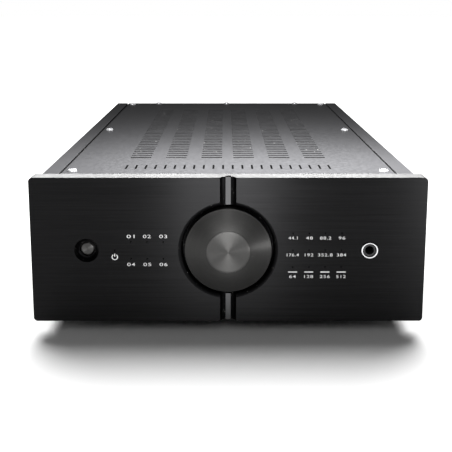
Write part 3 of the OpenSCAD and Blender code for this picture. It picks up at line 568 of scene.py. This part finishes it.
# %% Headphone ring
ring_r = (ring_hi.x - ring_lo.x) / 2
ring_bore = ring_r - 1.6 * MM
ring_proud = face_y - ring_lo.y
ring_back = face_y - ring_hi.y
ring_profile = [(ring_bore, ring_back), (ring_r, ring_back), (ring_r, ring_proud - 0.35 * MM),
                (ring_r - 0.12 * MM, ring_proud - 0.1 * MM), (ring_r - 0.4 * MM, ring_proud),
                (ring_bore + 0.62 * MM, ring_proud), (ring_bore + 0.4 * MM, ring_proud - 0.3 * MM),
                (ring_bore, ring_proud - 1.6 * MM), (ring_bore, ring_back)]
ring = turned("headphone_ring_turned", ring_profile, (jack_x, face_y, axis_z), (0, -1, 0), 96, 0.002, 35)
wear(placed(ring, "case", "chrome", "headphone_ring"), "chrome")

# %% [markdown]
# ## Printed legends
# The legends are a thin layer of pale ink. Each one starts as a text curve, becomes a mesh, and is
# then scaled to its width and height and laid on the face. The inputs are plain numbers, and the
# rates are the numbers of the signal. The standby sign is an open ring with a stroke.

# %% Helper: ink shapes
ink_t = 0.03 * MM


def letters(text, x, z, width, height):
    """A text as points and faces: its own box is scaled to width by height, centred at (x, z) on the
    face, and its thickness goes from the face forward."""
    curve = bpy.data.curves.new("ink", "FONT")
    curve.body = text
    curve.extrude = 0.01
    curve.offset = 0.003
    curve.resolution_u = 4
    curve.space_character = 1.12
    holder = bpy.data.objects.new("ink", curve)
    bpy.context.scene.collection.objects.link(holder)
    solid = bpy.data.meshes.new_from_object(holder.evaluated_get(bpy.context.evaluated_depsgraph_get()))
    points = np.empty(len(solid.vertices) * 3)
    solid.vertices.foreach_get("co", points)
    points = points.reshape(-1, 3)
    faces = [tuple(f.vertices) for f in solid.polygons]
    bpy.data.objects.remove(holder)
    bpy.data.curves.remove(curve)
    bpy.data.meshes.remove(solid)
    low, high = points.min(0), points.max(0)
    share = (points - low) / (high - low)
    return np.stack([x + (share[:, 0] - 0.5) * width, face_y - share[:, 2] * ink_t,
                     z + (share[:, 1] - 0.5) * height], -1), faces


def stroke(path, width, thick=ink_t):
    """A flat band along a path of (x, z) points: at each point two edges lie half a width to either
    side of the path's direction, once on the face and once a thickness in front of it."""
    path = np.array(path, float)
    way = np.gradient(path, axis=0)
    across = np.stack([-way[:, 1], way[:, 0]], -1) / np.hypot(*way.T)[:, None] * width / 2
    left, right = path + across, path - across
    rows = []
    for edge, y in ((left, face_y), (left, face_y - thick), (right, face_y - thick), (right, face_y)):
        rows.append(np.stack([edge[:, 0], np.full(len(edge), y), edge[:, 1]], -1))
    points = np.stack(rows, 1).reshape(-1, 3)
    count = len(path)
    faces = [tuple(4 * i + k for k in (a, b)) + tuple(4 * (i + 1) + k for k in (b, a))
             for i in range(count - 1) for a, b in ((0, 1), (1, 2), (2, 3), (3, 0))]
    faces += [(3, 2, 1, 0), tuple(4 * (count - 1) + k for k in (0, 1, 2, 3))]
    return points, faces


def joined(name, parts, sharp=30):
    """One mesh from several lists of points and faces."""
    offset = np.cumsum([0] + [len(points) for points, _ in parts])
    faces = [tuple(v + start for v in face) for start, (_, group) in zip(offset, parts) for face in group]
    mesh = bpy.data.meshes.new(name)
    mesh.from_pydata(np.vstack([points for points, _ in parts]).tolist(), [], faces)
    return finished(name, mesh, sharp)


# %% [markdown]
# Twelve rates stand under the light holes on the right and six numbers round those on the left. The
# columns are counted from the last light pipe, so the print keeps its place under the holes. A bar
# over each number of the lowest row tells that row from the others.

# %% Legends
pipes_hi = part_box("light_pipes")[1]
pipe_r = 1.4 * MM
last_column = pipes_hi.x - pipe_r
column_step = 11.53 * MM
columns = [last_column - column_step * (3 - i) for i in range(4)]
row_step = pipes_hi.z - pipe_r - axis_z
low_row = row_step / 2
rates = ((("44.1", 6.4), ("48", 4.9), ("88.2", 8.0), ("96", 4.8)),
         (("176.4", 8.6), ("192", 6.1), ("352.8", 10.4), ("384", 6.6)),
         (("64", 4.8), ("128", 6.4), ("256", 7.2), ("512", 6.8)))
cap_h, drop, low_drop = 2.2 * MM, 3.3 * MM, 6.9 * MM
bar_half, bar_drop, bar_w = 3.2 * MM, 3.5 * MM, 0.8 * MM
number_w, number_off = 5.6 * MM, 4.1 * MM
ink = []
for row, names in enumerate(rates):
    z = axis_z + (1 - row) * row_step
    for x, (text, wide) in zip(columns, names):
        ink.append(letters(text, x, z - (drop if row < 2 else low_drop), wide * MM, cap_h))
        if row == 2:
            ink.append(stroke([(x - bar_half, z - bar_drop), (x + bar_half, z - bar_drop)], bar_w))
for i in range(3):
    ink.append(letters("0%d" % (3 - i), -columns[i], axis_z + low_row + number_off, number_w, 2.5 * MM))
    ink.append(letters("0%d" % (6 - i), -columns[i], axis_z - low_row - number_off, number_w, 2.4 * MM))
sign_r, sign_z, sign_w = 1.95 * MM, axis_z - 4.85 * MM, 0.62 * MM
opening = np.radians(np.linspace(125, 415, 40))
ink.append(stroke(np.stack([-last_column + sign_r * np.cos(opening), sign_z + sign_r * np.sin(opening)], -1),
                  sign_w))
ink.append(stroke([(-last_column, sign_z + 0.3 * MM), (-last_column, sign_z + 2.5 * MM)], sign_w))
legends = joined("legends", ink)
wear(placed(legends, "case", "white_plastic"), "legend_ink")

# %% [markdown]
# The cover carries a row of short cuts behind the plate. They are not cut: thin dark slips with
# round ends lie on the cover as painted shade of the openings, a plain pattern that repeats at one pitch.

# %% Row of cuts on the cover, as slips of painted shade
def slip(x, y, length, width, z, thick, corners=12):
    """A flat slip with round ends: its outline is two half rounds, joined, and lifted by a thickness."""
    turn = np.linspace(0, 2 * pi, corners, endpoint=False) + pi / corners
    outline = np.stack([x + width / 2 * np.cos(turn),
                        y + width / 2 * np.sin(turn) + np.sign(np.sin(turn)) * (length - width) / 2], -1)
    low, high = (np.column_stack([outline, np.full(corners, level)]) for level in (z, z + thick))
    faces = [(i, (i + 1) % corners, (i + 1) % corners + corners, i + corners) for i in range(corners)]
    caps = [tuple(range(corners - 1, -1, -1)), tuple(range(corners, 2 * corners))]
    return np.vstack([low, high]), faces + caps


cut_y, cut_z, cut_t = cover_lo.y + 25 * MM, cover_hi.z - 0.02 * MM, 0.05 * MM
cut_l, cut_w, cut_count, half_row = 13 * MM, 1.5 * MM, 22, 76
slips = [slip(x, cut_y, cut_l, cut_w, cut_z, cut_t)
         for x in np.linspace(-half_row, half_row, cut_count) * MM]
# The slips wear the near-black finish: their darkness is painted shade of the cuts' openings.
cover_marks = joined("cover_marks", slips)
wear(placed(cover_marks, "case", "black_plastic"), "cut_mark")

# %% [markdown]
# ## The case
# The side walls, the cover and the rear panel carry a fine powder coat: a dark, slightly pebbled
# paint. All four are copies with broken edges, so their long rims draw a thin line of light. The
# walls of the vent slots and the faces in the gap beside the cover get little light on the real
# case. Their shade is painted: they wear a plain near-black finish, because the light that a render bounces
# there is too even.

# %% Cover, sides and rear panel
break_from = {"top_cover": 6.0, "side_left": 40.0, "side_right": 40.0, "rear_panel": 40.0}
for node, longer_than_mm in break_from.items():
    wear(softened(node, "case", 0.3, longer_than_mm), "powder_black")

cover = bpy.data.objects["top_cover_finished"]
# The cover's second finish is painted shade for its upright faces: slot walls and rims.
cover.data.materials.append(finishes["cut_mark"])
stands_up, gap_depth, hair = 0.5, 1 * MM, 0.1 * MM
upright_painted_shade = np.abs(face_values(cover, "normal")[:, 2]) < stands_up
cover.data.polygons.foreach_set("material_index", upright_painted_shade.astype(int))
# Faces in the gap beside the cover get painted shade as well.
for name in ("side_left_finished", "side_right_finished"):
    side = bpy.data.objects[name]
    side.data.materials.append(finishes["cut_mark"])
    middle = face_values(side, "center")
    gap_painted_shade = (middle[:, 2] > cover_lo.z - gap_depth) & (middle[:, 2] < cover_hi.z - hair)
    gap_painted_shade &= np.abs(middle[:, 0]) < side_inner_x
    side.data.polygons.foreach_set("material_index", gap_painted_shade.astype(int))
print("dark faces on the cover and in the gap:", int(upright_painted_shade.sum()), int(gap_painted_shade.sum()))

# %% [markdown]
# ## Camera
# The camera looks down on the front from a little above the case. Its lens is shifted, as on a view
# camera: a level camera with the whole tilt as shift would keep the verticals parallel, but it would
# cut the object off in the other views, so part of the way is a tilt.

# %% Camera
camera_data = bpy.data.cameras.new("camera")
camera = bpy.data.objects.new("camera", camera_data)
tilt_down = 8.79
camera.location = (-0.0026, -0.67675, 0.2377)
camera.rotation_euler = (radians(90 - tilt_down), 0, 0)
camera_data.lens = 55.99
camera_data.sensor_width = 36
camera_data.shift_x = 0.0034
camera_data.shift_y = -0.25
camera_data.clip_start = 0.01
bpy.context.scene.collection.objects.link(camera)
bpy.context.scene.camera = camera
print("camera at", tuple(round(v, 3) for v in camera.location), "lens", round(camera_data.lens, 2))

# %% [markdown]
# ## Light
# Black metal shows only what it mirrors, so a studio gives each face its own card to mirror. A low
# light over the cover makes it bright in front and dark behind. A card far behind the case makes
# the plate's top edge glow. A tall light draws the soft column on the brushed face, and small cards
# under the lens give the plate, the knob and the button their sheen. Each light reaches only the
# pieces that it is made for, as flags and snoots would do it. A sun lights the rest and the floor.

# %% Lights
def softbox(name, place, target, width, height, radiance):
    """A rectangular light of the given radiance: its power is pi times the radiance times the area."""
    lamp = bpy.data.lights.new(name, "AREA")
    lamp.shape = "RECTANGLE"
    lamp.size, lamp.size_y = width, height
    lamp.energy = pi * radiance * width * height
    box = bpy.data.objects.new(name, lamp)
    box.location = place
    box.rotation_euler = (Vector(target) - Vector(place)).to_track_quat("-Z", "Y").to_euler()
    box.visible_camera = False
    bpy.context.scene.collection.objects.link(box)
    return box


def only_for(box, *pieces):
    """Keeps a light to the named pieces, as a flag or a snoot does in a studio."""
    reach = bpy.data.collections.new(box.name + "_reach")
    for piece in pieces:
        reach.objects.link(piece)
    box.light_linking.receiver_collection = reach


solids = [piece for piece in bpy.context.scene.objects if piece.type == "MESH"]
tops = [piece for piece in solids
        if piece.name in ("top_cover_finished", "side_left_finished", "side_right_finished")]
fronts = [piece for piece in solids if not piece.name.startswith("groove_strip")]
others = [piece for piece in solids if piece not in tops]
walls = [piece for piece in solids if piece.name.startswith("side_")]
cover_light = softbox("cover_light", (0.04, -0.18, 0.250), (0.04, -0.16, 0.117), 0.30, 0.06, 88.0)
cover_light.visible_glossy = False
only_for(cover_light, nodes["cover_screws"], *tops)
only_for(softbox("band_card", (0, 1.5, 0.50), (0, -0.2, 0.118), 3.6, 0.5, 16.0), front_plate)
only_for(softbox("front_light", (0, -1.25, 1.3), (0, -0.2, 0.1), 0.36, 0.8, 6.0), *fronts)
only_for(softbox("plate_card", (0, -0.62, 0.002), (0, -0.62, 1.0), 0.115, 0.30, 50.0), front_plate)
only_for(softbox("plate_side", (0.34, -0.50, 0.003), (0.34, -0.50, 1.0), 0.20, 0.20, 60.0), front_plate)
only_for(softbox("knob_card", (0, -0.70, 0.002), (0, -0.70, 1.0), 0.10, 0.30, 42.0), knob, button)
only_for(softbox("knob_side", (0.20, -0.42, 0.003), (0.20, -0.42, 1.0), 0.12, 0.12, 15.0), knob)
only_for(softbox("right_strip", (1.3, -0.2, 0.25), (0, 0, 0.06), 0.5, 0.9, 3.0), *walls)
only_for(softbox("left_strip", (-1.3, -0.2, 0.25), (0, 0, 0.06), 0.5, 0.9, 2.5), *walls)

sun = bpy.data.lights.new("room_light", "SUN")
sun.energy = 8.0
sun.angle = radians(60)
room = bpy.data.objects.new("room_light", sun)
room.rotation_euler = (radians(-34), 0, 0)
room.visible_glossy = False
bpy.context.scene.collection.objects.link(room)
print("lights:", len(bpy.data.lights))

# %% [markdown]
# ## Surroundings
# The studio is white to the eye but dim as a light, or black metal would turn grey: a Light Path
# node tells the two apart. The floor is one large sheet of pale paper that catches the shadow.

# %% World and floor
world = bpy.data.worlds.new("studio")
bpy.context.scene.world = world
world.use_nodes = True
sky = world.node_tree
backdrop = sky.nodes["Background"]
ray = sky.nodes.new("ShaderNodeLightPath")
level = sky.nodes.new("ShaderNodeMix")
level.inputs["A"].default_value = 0.06
level.inputs["B"].default_value = 1.0
sky.links.new(ray.outputs["Is Camera Ray"], level.inputs["Factor"])
sky.links.new(level.outputs["Result"], backdrop.inputs["Strength"])
backdrop.inputs["Color"].default_value = (1, 1, 1, 1)

floor_mesh = bpy.data.meshes.new("floor")
reach, floor_z = 12.0, -0.0002
floor_mesh.from_pydata([(-reach, -reach, floor_z), (reach, -reach, floor_z), (reach, reach, floor_z),
                        (-reach, reach, floor_z)], [], [(0, 1, 2, 3)])
floor = bpy.data.objects.new("floor", floor_mesh)
bpy.context.scene.collection.objects.link(floor)
only_for(room, floor, *others)
only_for(softbox("floor_fill", (0, -1.3, 0.9), (0, -0.3, 0.0), 1.6, 0.5, 1.3), floor)
floor_mesh.materials.append(make_finish("floor_paper", (0.92, 0.92, 0.92), 0.0, 0.5, (1, 1, 1), 60.0, 0.001,
                                        0.01, 0.02, 0.0))
bpy.context.scene.view_settings.view_transform = "Standard"
print("floor half width:", reach, "m")
